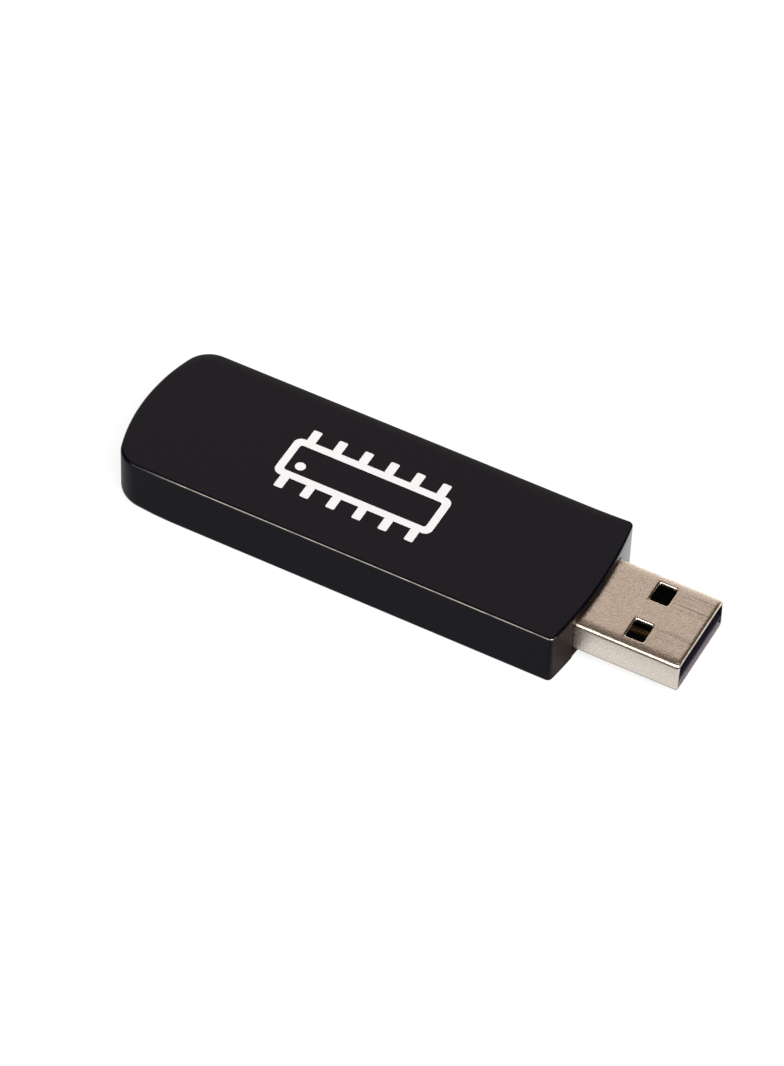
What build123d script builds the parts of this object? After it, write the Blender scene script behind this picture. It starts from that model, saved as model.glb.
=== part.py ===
"""Stick-format USB microcontroller programmer: casing, USB-A plug, board, target socket and power switch.

X runs along the stick towards the plug, Y across it and Z up, in millimetres. The origin is under the
middle of the whole. Each sub-part is written to parts/NODE.step.
"""

import os
from math import sqrt

from build123d import *

# ---------------------------------------------------------------- driving dimensions
BODY_LENGTH = 61.0
BODY_WIDTH = 21.2
BODY_HEIGHT = 7.5
PLUG_REACH = 13.1  # from the casing's front to the plug's tip
TOTAL_LENGTH = BODY_LENGTH + PLUG_REACH

REAR_ARC_R = 25.0
FRONT_ARC_R = 60.0
REAR_CORNER_R = 3.6
FRONT_CORNER_R = 0.7
MIN_CORNER_R = 0.3  # the tightest corner of an inner wall
TOP_EDGE_R = 0.35
BOTTOM_EDGE_R = 0.8
SIDE_WALL = 1.2
ROOF = 1.0
COVER_THICKNESS = 1.0
COVER_INSET = 0.95  # the casing's rim outside the base cover
JOIN_GAP = 0.05  # between neighbouring mouldings
SLIDE_GAP = 0.12  # round the sliding cap

PLUG_WIDTH, PLUG_HEIGHT, PLUG_LENGTH = 12.0, 4.5, 18.8
PLUG_BOTTOM = 1.85
PLUG_SHEET = 0.3
PLUG_OUTER_R = 0.5
PLUG_TIP_R = 0.18  # round the tip's outer edge
PLUG_OPENING_GAP = 0.1

BOARD_THICKNESS = 1.0
BOARD_BOTTOM = 2.35
BOARD_WIDTH = 17.0
BOARD_REAR_X = -33.6

SOCKET_WAYS = 6
SOCKET_PITCH = 2.54
SOCKET_DEPTH, SOCKET_HEIGHT = 8.5, 2.54

SWITCH_X = -8.0
SWITCH_TRAVEL = 1.5

# ---------------------------------------------------------------- places worked out from them
TIP_X = TOTAL_LENGTH / 2
REAR_X = -TOTAL_LENGTH / 2
FRONT_X = TIP_X - PLUG_REACH
REAR_ARC_X = REAR_X + REAR_ARC_R
FRONT_ARC_X = FRONT_X - FRONT_ARC_R
HALF_WIDTH = BODY_WIDTH / 2
INNER_HALF = HALF_WIDTH - SIDE_WALL
CEILING = BODY_HEIGHT - ROOF

PLUG_REAR_X = TIP_X - PLUG_LENGTH
PLUG_TOP = PLUG_BOTTOM + PLUG_HEIGHT
PLUG_MID = PLUG_BOTTOM + PLUG_HEIGHT / 2
TONGUE_TOP = PLUG_BOTTOM + 1.9
BOARD_TOP = BOARD_BOTTOM + BOARD_THICKNESS
BOARD_FRONT_X = PLUG_REAR_X - 0.35  # behind the plug, between the two arms
ARM_FRONT_X = 21.7

SOCKET_MOUTH_X = -35.3
SOCKET_WIDTH = SOCKET_WAYS * SOCKET_PITCH + 0.1
SOCKET_REAR_X = SOCKET_MOUTH_X + SOCKET_DEPTH
SOCKET_YS = [(i - (SOCKET_WAYS - 1) / 2) * SOCKET_PITCH for i in range(SOCKET_WAYS)]
SOCKET_MID = BOARD_TOP + SOCKET_HEIGHT / 2

PIN_PLACES = [(14.4, -7.1), (14.4, 7.1), (-20.0, -7.1), (-20.0, 7.1)]
HOOK_XS = (-26.0, 8.5)
RIB_XS = (-16.6, 11.0)
LIGHT_XS = (1.6, 5.2)
SWITCH_CENTRE = SWITCH_X + SWITCH_TRAVEL / 2  # the middle of the lever's travel
SWITCH_MID = BOARD_TOP + 0.75
SLOT_LENGTH, SLOT_HEIGHT = 6.6, 2.4


# ---------------------------------------------------------------- shared shapes
def box(x, y, z):
    """A block between two corners, each axis given as (low, high)."""
    size = (x[1] - x[0], y[1] - y[0], z[1] - z[0])
    centre = ((x[0] + x[1]) / 2, (y[0] + y[1]) / 2, (z[0] + z[1]) / 2)
    return Pos(*centre) * Box(*size)


def around(centre, size):
    """The (low, high) pair of a given size about a centre."""
    return (centre - size / 2, centre + size / 2)


def outline(inset=0.0):
    """The casing's plan moved in by inset: straight sides, a convex arc at each end, rounded corners."""
    half = HALF_WIDTH - inset
    rear_r, front_r = REAR_ARC_R - inset, FRONT_ARC_R - inset
    rear_x = REAR_ARC_X - sqrt(rear_r**2 - half**2)
    front_x = FRONT_ARC_X + sqrt(front_r**2 - half**2)
    edges = (
        Line((rear_x, half), (front_x, half))
        + ThreePointArc((front_x, half), (FRONT_ARC_X + front_r, 0), (front_x, -half))
        + Line((front_x, -half), (rear_x, -half))
        + ThreePointArc((rear_x, -half), (REAR_ARC_X - rear_r, 0), (rear_x, half))
    )
    face = make_face(edges)
    face = fillet(face.vertices().group_by(Axis.X)[0], max(REAR_CORNER_R - inset, MIN_CORNER_R))
    return fillet(face.vertices().group_by(Axis.X)[-1], max(FRONT_CORNER_R - inset, MIN_CORNER_R))


def slab(inset, low, high):
    """The plan moved in by inset, between two heights."""
    return Pos(0, 0, low) * extrude(outline(inset), high - low)


def casing_envelope():
    """The whole casing as one block, with its outer edges rounded."""
    block = slab(0, 0, BODY_HEIGHT)
    block = fillet(block.faces().sort_by(Axis.Z)[-1].edges(), TOP_EDGE_R)
    return fillet(block.faces().sort_by(Axis.Z)[0].edges(), BOTTOM_EDGE_R)


def along_x(sketch, start, length):
    """A sketch of Y and Z, extruded along +X."""
    return Pos(start, 0, 0) * extrude(Plane.YZ * sketch, length)


def side_profile(points, width, y=0.0):
    """A closed outline of X and Z points, extruded to a width along Y about y."""
    face = make_face(Polyline(*[(x, z) for x, z in points], close=True))
    return Pos(0, y, 0) * extrude(Plane.XZ * face, width / 2, both=True)


def strip_profile(path, thickness):
    """Outline points of a folded strip: the path of its lower face and that path lifted by a thickness."""
    return path + [(x, z + thickness) for x, z in reversed(path)]


def rounded_box(x, y, z, radius):
    """A block with its upright edges rounded."""
    block = box(x, y, z)
    return fillet(block.edges().filter_by(Axis.Z), radius)


# ---------------------------------------------------------------- casing
def plug_opening():
    """The way through the front wall for the plug, open to the underside so that the board drops in."""
    half = PLUG_WIDTH / 2 + PLUG_OPENING_GAP
    top = PLUG_TOP + PLUG_OPENING_GAP
    block = box((FRONT_X - 4, FRONT_X + 1), (-half, half), (-1, top))
    return fillet(block.edges().filter_by(Axis.X).group_by(Axis.Z)[-1], PLUG_OUTER_R)


def switch_slot():
    """The slot in the left wall that the sliding cap stands in."""
    through_wall = (INNER_HALF - 1, HALF_WIDTH + 1)
    block = box(around(SWITCH_CENTRE, SLOT_LENGTH), through_wall, around(SWITCH_MID, SLOT_HEIGHT))
    return fillet(block.edges().filter_by(Axis.Y), 0.4)


def hook(x, side, grow=0.0):
    """The nose of a snap hook, or with grow the pocket that it clicks into."""
    inner, outer = INNER_HALF - 0.1, INNER_HALF + 0.25 + grow
    points = [(inner, 1.35 - grow), (outer, 1.85 - grow), (outer, 2.0 + grow), (inner, 2.25 + grow)]
    face = make_face(Polyline(*[(side * y, z) for y, z in points], close=True))
    return Pos(x, 0, 0) * extrude(Plane.YZ * face, 1.5 + grow, both=True)


def upper_shell():
    """The deep moulding that makes the top and all the sides."""
    shell = casing_envelope() - slab(SIDE_WALL, -1, CEILING)
    shell -= slab(COVER_INSET, -1, COVER_THICKNESS + JOIN_GAP)
    shell -= plug_opening()
    window_y, window_z = SOCKET_WIDTH + 0.3, (BOARD_TOP - 0.1, BOARD_TOP + SOCKET_HEIGHT + 0.15)
    window = box((REAR_X - 1, REAR_X + 5), around(0, window_y), window_z)
    shell -= fillet(window.edges().filter_by(Axis.X), 0.25)
    shell -= switch_slot()
    for x in LIGHT_XS:
        shell -= Pos(x, HALF_WIDTH, SWITCH_MID) * Rot(90, 0, 0) * Cylinder(1.0, 4)
    for x in RIB_XS:
        for side in (-1, 1):
            y = sorted((side * (BOARD_WIDTH / 2 - 0.8), side * (INNER_HALF + 0.1)))
            shell += box(around(x, 1.2), y, (BOARD_TOP + JOIN_GAP, CEILING + 0.1))
    for x in HOOK_XS:
        for side in (-1, 1):
            shell -= hook(x, side, grow=0.1)
    return shell


def base_cover():
    """The plate let into the underside, with the lip under the plug, snap hooks and locating pins."""
    plate = slab(COVER_INSET + JOIN_GAP, 0, COVER_THICKNESS)
    lip_half = PLUG_WIDTH / 2 + PLUG_OPENING_GAP - JOIN_GAP
    front = box((FRONT_X - 3.5, FRONT_X + 1), (-lip_half, lip_half), (-1, PLUG_BOTTOM - JOIN_GAP))
    cover = plate + ((casing_envelope() & front) - slab(SIDE_WALL, COVER_THICKNESS, BODY_HEIGHT))
    for x in HOOK_XS:
        for side in (-1, 1):
            y = sorted((side * (INNER_HALF - 0.65), side * (INNER_HALF - JOIN_GAP)))
            cover += box(around(x, 3.0), y, (COVER_THICKNESS - 0.2, 2.25)) + hook(x, side)
    for x, y in PIN_PLACES:
        cover += Pos(x, y, (BOARD_BOTTOM + 0.5) / 2) * Cylinder(1.3, BOARD_BOTTOM - 0.5)
        cover += Pos(x, y, BOARD_TOP - 0.5) * Cylinder(0.7, 2.0)
    return cover


def light_pipe(x):
    """A clear rod with a retaining flange inside the wall and a domed face flush with the casing."""
    rod = Pos(x, HALF_WIDTH - 0.65, SWITCH_MID) * Rot(-90, 0, 0) * Cylinder(0.98, 1.3)
    rod = fillet(rod.faces().sort_by(Axis.Y)[-1].edges(), 0.2)
    flange = Pos(x, INNER_HALF - 0.35, SWITCH_MID) * Rot(90, 0, 0) * Cylinder(1.4, 0.6)
    return rod + flange


# ---------------------------------------------------------------- USB-A plug
def plug_section(inset):
    """The plug's rounded cross-section in Y and Z, moved in by inset."""
    width, height = PLUG_WIDTH - 2 * inset, PLUG_HEIGHT - 2 * inset
    return Pos(0, PLUG_MID) * RectangleRounded(width, height, PLUG_OUTER_R - inset)


WINDOW_Y, WINDOW_LENGTH, WINDOW_WIDTH = 3.2, 2.3, 2.9
WINDOW_X = TIP_X - 5.3 - WINDOW_LENGTH / 2


def plug_shell():
    """The folded steel sleeve, with latch windows on both faces, a seam underneath and two solder ears."""
    tube = along_x(plug_section(0), PLUG_REAR_X, PLUG_LENGTH)
    tube = fillet(tube.faces().sort_by(Axis.X)[-1].edges(), PLUG_TIP_R)
    tube -= along_x(plug_section(PLUG_SHEET), PLUG_REAR_X - 1, PLUG_LENGTH + 2)
    for y in (-WINDOW_Y, WINDOW_Y):
        x_range, y_range = around(WINDOW_X, WINDOW_LENGTH), around(y, WINDOW_WIDTH)
        tube -= rounded_box(x_range, y_range, (PLUG_BOTTOM - 1, PLUG_TOP + 1), 0.25)
    dovetail = [(TIP_X - 12.0, 0), (TIP_X - 12.4, 1.0), (TIP_X - 9.6, 1.0), (TIP_X - 10.0, 0)]
    seam = Polyline((PLUG_REAR_X - 1, 0), *dovetail, (TIP_X + 1, 0))
    tube -= Pos(0, 0, PLUG_BOTTOM - 0.1) * extrude(trace(seam, 0.06), PLUG_SHEET + 0.2)
    for side in (-1, 1):
        y = sorted((side * (PLUG_WIDTH / 2 - 0.2), side * (PLUG_WIDTH / 2 + 1.6)))
        tube += box((PLUG_REAR_X + 0.8, PLUG_REAR_X + 2.8), y, (BOARD_TOP, BOARD_TOP + PLUG_SHEET))
    return tube


CONTACT_YS = {"vbus": 3.5, "d_minus": 1.0, "d_plus": -1.0, "ground": -3.5}
CONTACT_WIDTH, CONTACT_THICKNESS = 1.2, 0.2
NOSE_HEIGHT = 0.55
TONGUE_SETBACK = 0.05  # behind the sleeve's tip


def plug_contact(name):
    """One gilt strip: flat on the tongue, back through the block, down to its foot on the board."""
    setback = 1.4 if name in ("vbus", "ground") else 2.4
    face = TONGUE_TOP - CONTACT_THICKNESS + 0.05
    foot = BOARD_TOP
    path = [
        (TIP_X - setback, face - 0.15),
        (TIP_X - setback - 0.5, face),
        (PLUG_REAR_X - 0.7, face),
        (PLUG_REAR_X - 1.2, foot),
        (PLUG_REAR_X - 2.8, foot),
    ]
    return side_profile(strip_profile(path, CONTACT_THICKNESS), CONTACT_WIDTH, CONTACT_YS[name])


def plug_tongue():
    """The moulded insulator: a block filling the sleeve's rear and a tongue whose nose overhangs a recess."""
    inset = PLUG_SHEET + 0.02
    fill = along_x(plug_section(inset), PLUG_REAR_X + 0.1, PLUG_LENGTH - 0.1 - TONGUE_SETBACK)
    cavity = box((TIP_X - 11.2, TIP_X + 1), around(0, PLUG_WIDTH), (TONGUE_TOP, PLUG_TOP + 1))
    tongue = fill - cavity
    groove_z = (TONGUE_TOP - 0.32, TONGUE_TOP + 0.06)
    for y in CONTACT_YS.values():
        tongue -= box((PLUG_REAR_X - 1, TIP_X - 1.2), around(y, CONTACT_WIDTH + 0.06), groove_z)
    tongue -= box((TIP_X - 0.8, TIP_X), around(0, PLUG_WIDTH), (0, TONGUE_TOP - NOSE_HEIGHT))
    front = tongue.faces().filter_by(Axis.X).sort_by(Axis.X)[-1]
    return chamfer(front.edges().filter_by(Axis.Y).sort_by(Axis.Z)[-1], 0.1)


def plug_solder():
    """Solder over the two ears and the four contact feet."""
    joints = []
    for side in (-1, 1):
        x, y = PLUG_REAR_X + 1.8, side * (PLUG_WIDTH / 2 + 1.75)
        joints.append(Pos(x, y, BOARD_TOP) * solder_fillet(2.2, 0.3, 0.25))
    for y in CONTACT_YS.values():
        joints.append(Pos(PLUG_REAR_X - 2.95, y, BOARD_TOP) * Rot(0, 0, 90) * solder_fillet(1.2, 0.3, 0.18))
    return Compound(children=joints)


def solder_fillet(length, width, height):
    """A low rounded bead of solder along X, sitting on Z 0."""
    bead = Pos(0, 0, height / 2) * Box(length, width, height)
    return fillet(bead.faces().sort_by(Axis.Z)[-1].edges(), min(width, height) * 0.4)


# ---------------------------------------------------------------- board and its components
def circuit_board():
    """The board: two arms beside the plug and holes for the locating pins."""
    board = box((BOARD_REAR_X, ARM_FRONT_X), around(0, BOARD_WIDTH), (BOARD_BOTTOM, BOARD_TOP))
    board = fillet(board.edges().filter_by(Axis.Z).group_by(Axis.X)[0], 3.0)
    board = fillet(board.edges().filter_by(Axis.Z).group_by(Axis.X)[-1], 0.5)
    board -= box((BOARD_FRONT_X, ARM_FRONT_X + 1), around(0, PLUG_WIDTH + 0.3), (0, BODY_HEIGHT))
    for x, y in PIN_PLACES:
        board -= Pos(x, y, BOARD_BOTTOM) * Cylinder(0.8, 4)
    return board


def gull_lead(reach, width, sheet, drop):
    """One gull-wing lead leaving a package along +X from X 0 at height drop and ending in a foot on Z 0."""
    path = [(0, drop), (reach * 0.35, drop), (reach * 0.55, 0), (reach, 0)]
    return side_profile(strip_profile(path, sheet), width)


def lead_row(count, pitch, half_span, lead):
    """Leads along one side of a package, pointing along +X."""
    return [Pos(half_span, (i - (count - 1) / 2) * pitch, 0) * lead for i in range(count)]


def package_leads(place, counts, pitch, halves, lead_size):
    """Leads on the sides of a package: counts of leads on the X sides and on the Y sides."""
    lead, leads = gull_lead(*lead_size), []
    for turn, count, half in ((0, counts[0], halves[0]), (90, counts[1], halves[1])):
        for angle in (turn, turn + 180):
            leads += [Rot(0, 0, angle) * one for one in lead_row(count, pitch, half, lead)] if count else []
    return Compound(children=[Pos(*place, BOARD_TOP) * one for one in leads])


def package_body(place, size, lift=0.1, pin_mark=True):
    """A moulded package with chamfered top edges and a dimple beside pin 1."""
    length, width, height = size
    body = Pos(*place, BOARD_TOP + lift + height / 2) * Box(length, width, height)
    body = chamfer(body.faces().sort_by(Axis.Z)[-1].edges(), min(0.12, height * 0.2))
    if pin_mark:
        mark = (place[0] - length / 2 + 0.7, place[1] - width / 2 + 0.7, BOARD_TOP + lift + height)
        body -= Pos(*mark) * Cylinder(0.25, 0.1)
    return body


def chip_part(places, size, cap):
    """Bodies and metal ends of two-terminal chip parts. Places are (x, y, turn); returns (bodies, ends)."""
    length, width, height = size
    bodies, ends = [], []
    for x, y, turn in places:
        spot = Pos(x, y, BOARD_TOP) * Rot(0, 0, turn)
        bodies.append(spot * Pos(0, 0, height / 2) * Box(length - 2 * cap, width, height))
        for side in (-1, 1):
            ends.append(spot * Pos(side * (length - cap) / 2, 0, height / 2) * Box(cap, width, height))
    return Compound(children=bodies), Compound(children=ends)


MCU_PLACE = (-3.6, -1.8)
REGULATOR_PLACE = (7.0, -3.4)
MEMORY_PLACE = (-15.0, 4.3)
SHIFTER_PLACE = (-15.2, -2.9)
PROTECTOR_PLACE = (12.2, 0.6)
TRANSISTOR_PLACE = (-20.6, 3.6)
CRYSTAL_PLACE = (6.6, 2.6)
FUSE_PLACES = [(11.4, 4.9, 0)]
TANTALUM_PLACES = [(12.4, -4.4, 90), (-13.0, -6.95, 0)]
CERAMIC_PLACES = [(-10.2, -7.4, 90), (-8.7, -7.7, 0), (3.6, 6.2, 90), (9.6, 2.2, 90)]
CERAMIC_PLACES += [(-19.9, -3.4, 90), (-19.9, 0.4, 90)]
RESISTOR_PLACES = [(-22.9, y, 0) for y in SOCKET_YS]  # one in series with each way of the target socket
RESISTOR_PLACES += [(1.0, 6.1, 90), (6.4, 6.1, 90), (8.6, 6.1, 90), (-12.0, 0.7, 0)]

QFP_LEAD = (1.0, 0.35, 0.12, 0.45)  # reach, width, sheet and height of a lead
SOIC_LEAD = (1.0, 0.42, 0.2, 0.6)
TSSOP_LEAD = (0.9, 0.25, 0.12, 0.4)
SOT_LEAD = (0.6, 0.4, 0.12, 0.45)
REGULATOR_LEAD = (1.7, 0.7, 0.3, 0.75)
REGULATOR_TAB = (1.7, 3.0, 0.3, 0.75)


def crystal():
    """The crystal's ceramic base and its metal lid."""
    x, y = CRYSTAL_PLACE
    base = rounded_box(around(x, 3.2), around(y, 5.0), (BOARD_TOP, BOARD_TOP + 0.6), 0.2)
    lid = rounded_box(around(x, 2.8), around(y, 4.6), (BOARD_TOP + 0.6, BOARD_TOP + 1.05), 0.3)
    return base, fillet(lid.faces().sort_by(Axis.Z)[-1].edges(), 0.12)


def regulator_leads():
    """Three leads on one side of the regulator and its wide heat tab on the other."""
    placed = [Rot(0, 0, -90) * one for one in lead_row(3, 2.3, 1.75, gull_lead(*REGULATOR_LEAD))]
    placed += [Rot(0, 0, 90) * one for one in lead_row(1, 0, 1.75, gull_lead(*REGULATOR_TAB))]
    return Compound(children=[Pos(*REGULATOR_PLACE, BOARD_TOP) * one for one in placed])


def transistor_leads():
    """Two leads on one side of the transistor and one on the other."""
    lead = gull_lead(*SOT_LEAD)
    placed = [Rot(0, 0, 180) * one for one in lead_row(2, 1.9, 0.65, lead)] + lead_row(1, 0, 0.65, lead)
    return Compound(children=[Pos(*TRANSISTOR_PLACE, BOARD_TOP) * one for one in placed])


def tantalum_leads():
    """The wrapped end straps of the tantalum capacitors."""
    straps = []
    for x, y, turn in TANTALUM_PLACES:
        for side in (-1, 1):
            strap = Pos(side * 1.68, 0, 0.55) * Box(0.14, 2.0, 1.1)
            strap += Pos(side * 1.35, 0, 0.07) * Box(0.8, 2.0, 0.14)
            straps.append(Pos(x, y, BOARD_TOP) * Rot(0, 0, turn) * strap)
    return Compound(children=straps)


def tantalum_bodies():
    """The moulded bodies of the tantalum capacitors, with a polarity bevel."""
    bodies = []
    for x, y, turn in TANTALUM_PLACES:
        body = Pos(0, 0, 0.14 + 0.85) * Box(3.2, 2.6, 1.7)
        body = chamfer(body.faces().sort_by(Axis.Z)[-1].edges().sort_by(Axis.X)[-1], 0.3)
        bodies.append(Pos(x, y, BOARD_TOP) * Rot(0, 0, turn) * body)
    return Compound(children=bodies)


def status_lights():
    """Side-firing lights at the board's edge: a white moulding and a clear lens facing the light pipes."""
    bodies, lenses = [], []
    edge = BOARD_WIDTH / 2
    for x in LIGHT_XS:
        bodies.append(box(around(x, 1.8), (edge - 1.4, edge - 0.7), (BOARD_TOP, BOARD_TOP + 1.0)))
        lens = box(around(x, 1.4), (edge - 0.7, edge - 0.1), (BOARD_TOP + 0.1, BOARD_TOP + 0.95))
        lenses.append(fillet(lens.faces().sort_by(Axis.Y)[-1].edges(), 0.15))
    return Compound(children=bodies), Compound(children=lenses)


# ---------------------------------------------------------------- target socket
SOCKET_WAY, SOCKET_FLARE = 0.86, 1.5  # the square way for a pin, and its mouth


def socket_housing():
    """The six-way housing: square ways with flared mouths, open at the back for the contacts' tails."""
    x = (SOCKET_MOUTH_X, SOCKET_REAR_X)
    z = (BOARD_TOP, BOARD_TOP + SOCKET_HEIGHT)
    housing = box(x, around(0, SOCKET_WIDTH), z)
    housing = chamfer(housing.faces().sort_by(Axis.X)[0].edges(), 0.15)
    for y in SOCKET_YS:
        housing -= box((x[0] - 1, x[1] + 1), around(y, 1.5), around(SOCKET_MID, 1.1))
        lining = box((x[0], x[0] + 1.2), around(y, 1.6), around(SOCKET_MID, 1.2))
        square = Rectangle(SOCKET_WAY, SOCKET_WAY)
        mouth = along_x(Pos(y, SOCKET_MID) * square, x[0] - 1, 3)
        flare = loft([Rectangle(SOCKET_FLARE, SOCKET_FLARE), Pos(0, 0, 0.4) * square])
        housing += lining - mouth - Pos(x[0], y, SOCKET_MID) * Rot(0, 90, 0) * flare
    return housing


def socket_contact(y):
    """One contact: two sprung leaves that grip a pin, joined behind it, and a tail down to the board."""
    leaf_front, leaf_back = SOCKET_MOUTH_X + 1.4, SOCKET_REAR_X - 1.0
    grip = leaf_front + 1.3
    leaf = [(leaf_front, 0.55), (grip, 0.26), (leaf_back, 0.5)]
    leaf += [(leaf_back, 0.68), (grip, 0.44), (leaf_front, 0.7)]
    parts = []
    for side in (-1, 1):
        face = make_face(Polyline(*[(x, side * v) for x, v in leaf], close=True))
        parts.append(Pos(0, y, SOCKET_MID - 0.4) * extrude(face, 0.8))
    parts.append(box((leaf_back - 0.05, leaf_back + 0.2), around(y, 1.36), around(SOCKET_MID, 0.8)))
    tail = [(leaf_back + 0.1, SOCKET_MID - 0.1), (SOCKET_REAR_X + 0.6, SOCKET_MID - 0.1)]
    tail += [(SOCKET_REAR_X + 0.9, BOARD_TOP), (SOCKET_REAR_X + 2.2, BOARD_TOP)]
    parts.append(side_profile(strip_profile(tail, 0.2), 0.64, y))
    return parts[0] + parts[1] + parts[2] + parts[3]


def socket_solder():
    """Solder at the toe of each tail."""
    bead = Rot(0, 0, 90) * solder_fillet(0.9, 0.28, 0.18)
    return Compound(children=[Pos(SOCKET_REAR_X + 2.35, y, BOARD_TOP) * bead for y in SOCKET_YS])


# ---------------------------------------------------------------- target power switch
SWITCH_LENGTH, SWITCH_HEIGHT = 7.0, 1.5
SWITCH_Y = (BOARD_WIDTH / 2 - 3.0, BOARD_WIDTH / 2 - 0.4)
LEVER_LENGTH = 1.4
LEVER_Z = (BOARD_TOP + 0.6, BOARD_TOP + 1.1)


def switch_base():
    """The plastic base of the switch, hollow for the wiper."""
    y = (SWITCH_Y[0] + 0.2, SWITCH_Y[1] - 0.2)
    block = box(around(SWITCH_CENTRE, SWITCH_LENGTH - 0.5), y, (BOARD_TOP, BOARD_TOP + 0.45))
    hollow_y, hollow_z = (y[0] + 0.5, y[1] - 0.5), (BOARD_TOP + 0.2, BODY_HEIGHT)
    return block - box(around(SWITCH_CENTRE, SWITCH_LENGTH - 1.7), hollow_y, hollow_z)


def switch_frame():
    """The steel frame folded over the base, with a slot in its front for the actuator."""
    sheet, top = 0.2, BOARD_TOP + SWITCH_HEIGHT
    frame = box(around(SWITCH_CENTRE, SWITCH_LENGTH), SWITCH_Y, (BOARD_TOP, top))
    inside_y = (SWITCH_Y[0] + sheet, SWITCH_Y[1] - sheet)
    frame -= box(around(SWITCH_CENTRE, SWITCH_LENGTH - 2 * sheet), inside_y, (BOARD_TOP - 1, top - sheet))
    lever_way = around(SWITCH_CENTRE, LEVER_LENGTH + SWITCH_TRAVEL + 0.4)
    return frame - box(lever_way, (SWITCH_Y[1] - 1, SWITCH_Y[1] + 1), (BOARD_TOP - 1, LEVER_Z[1] + 0.05))


def switch_actuator():
    """The lever that slides in the switch and carries the wiper."""
    stem = box(around(SWITCH_X, LEVER_LENGTH), (SWITCH_Y[0] + 1.2, BOARD_WIDTH / 2 + 0.6), LEVER_Z)
    return stem + box(around(SWITCH_X, 2.4), (SWITCH_Y[0] + 0.5, SWITCH_Y[1] - 0.5), LEVER_Z)


def switch_wiper():
    """The small sprung bridge under the actuator that joins neighbouring terminals."""
    y = (SWITCH_Y[0] + SWITCH_Y[1]) / 2
    low, high = BOARD_TOP + 0.22, BOARD_TOP + 0.52
    path = [(-1.1, low), (-0.7, low), (-0.4, high), (0.4, high), (0.7, low), (1.1, low)]
    return side_profile(strip_profile([(SWITCH_X + x, z) for x, z in path], 0.08), 0.8, y)


def switch_terminals():
    """Three terminals of the switch that run out over the board behind it."""
    y, z = (SWITCH_Y[0] - 1.0, SWITCH_Y[0]), (BOARD_TOP, BOARD_TOP + 0.15)
    return Compound(children=[box(around(SWITCH_CENTRE + step, 0.5), y, z) for step in (-2.25, 0.0, 2.25)])


def switch_cap():
    """The ribbed cap that a fingernail pushes: a flange covers its slot and a socket takes the lever."""
    flange_y = (BOARD_WIDTH / 2 + 0.1, INNER_HALF - SLIDE_GAP)
    flange = box(around(SWITCH_X, 9.2), flange_y, around(SWITCH_MID + 0.1, 3.6))
    length, height = SLOT_LENGTH - SWITCH_TRAVEL - 2 * SLIDE_GAP, SLOT_HEIGHT - 2 * SLIDE_GAP
    neck = box(around(SWITCH_X, length), (INNER_HALF - 0.3, HALF_WIDTH - 0.35), around(SWITCH_MID, height))
    cap = flange + fillet(neck.edges().filter_by(Axis.Y), 0.35)
    rib_y = (HALF_WIDTH - 0.5, HALF_WIDTH - 0.05)
    for offset in (-1.2, -0.4, 0.4, 1.2):
        rib = box(around(SWITCH_X + offset, 0.4), rib_y, around(SWITCH_MID, 1.7))
        cap += chamfer(rib.faces().sort_by(Axis.Y)[-1].edges(), 0.1)
    socket_y, socket_z = (0, BOARD_WIDTH / 2 + 0.7), around(sum(LEVER_Z) / 2, 0.6)
    return cap - box(around(SWITCH_X, LEVER_LENGTH + 0.1), socket_y, socket_z)


# ---------------------------------------------------------------- every node
def group(shapes):
    """Several identical solids kept in one node."""
    return Compound(children=list(shapes))


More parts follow.
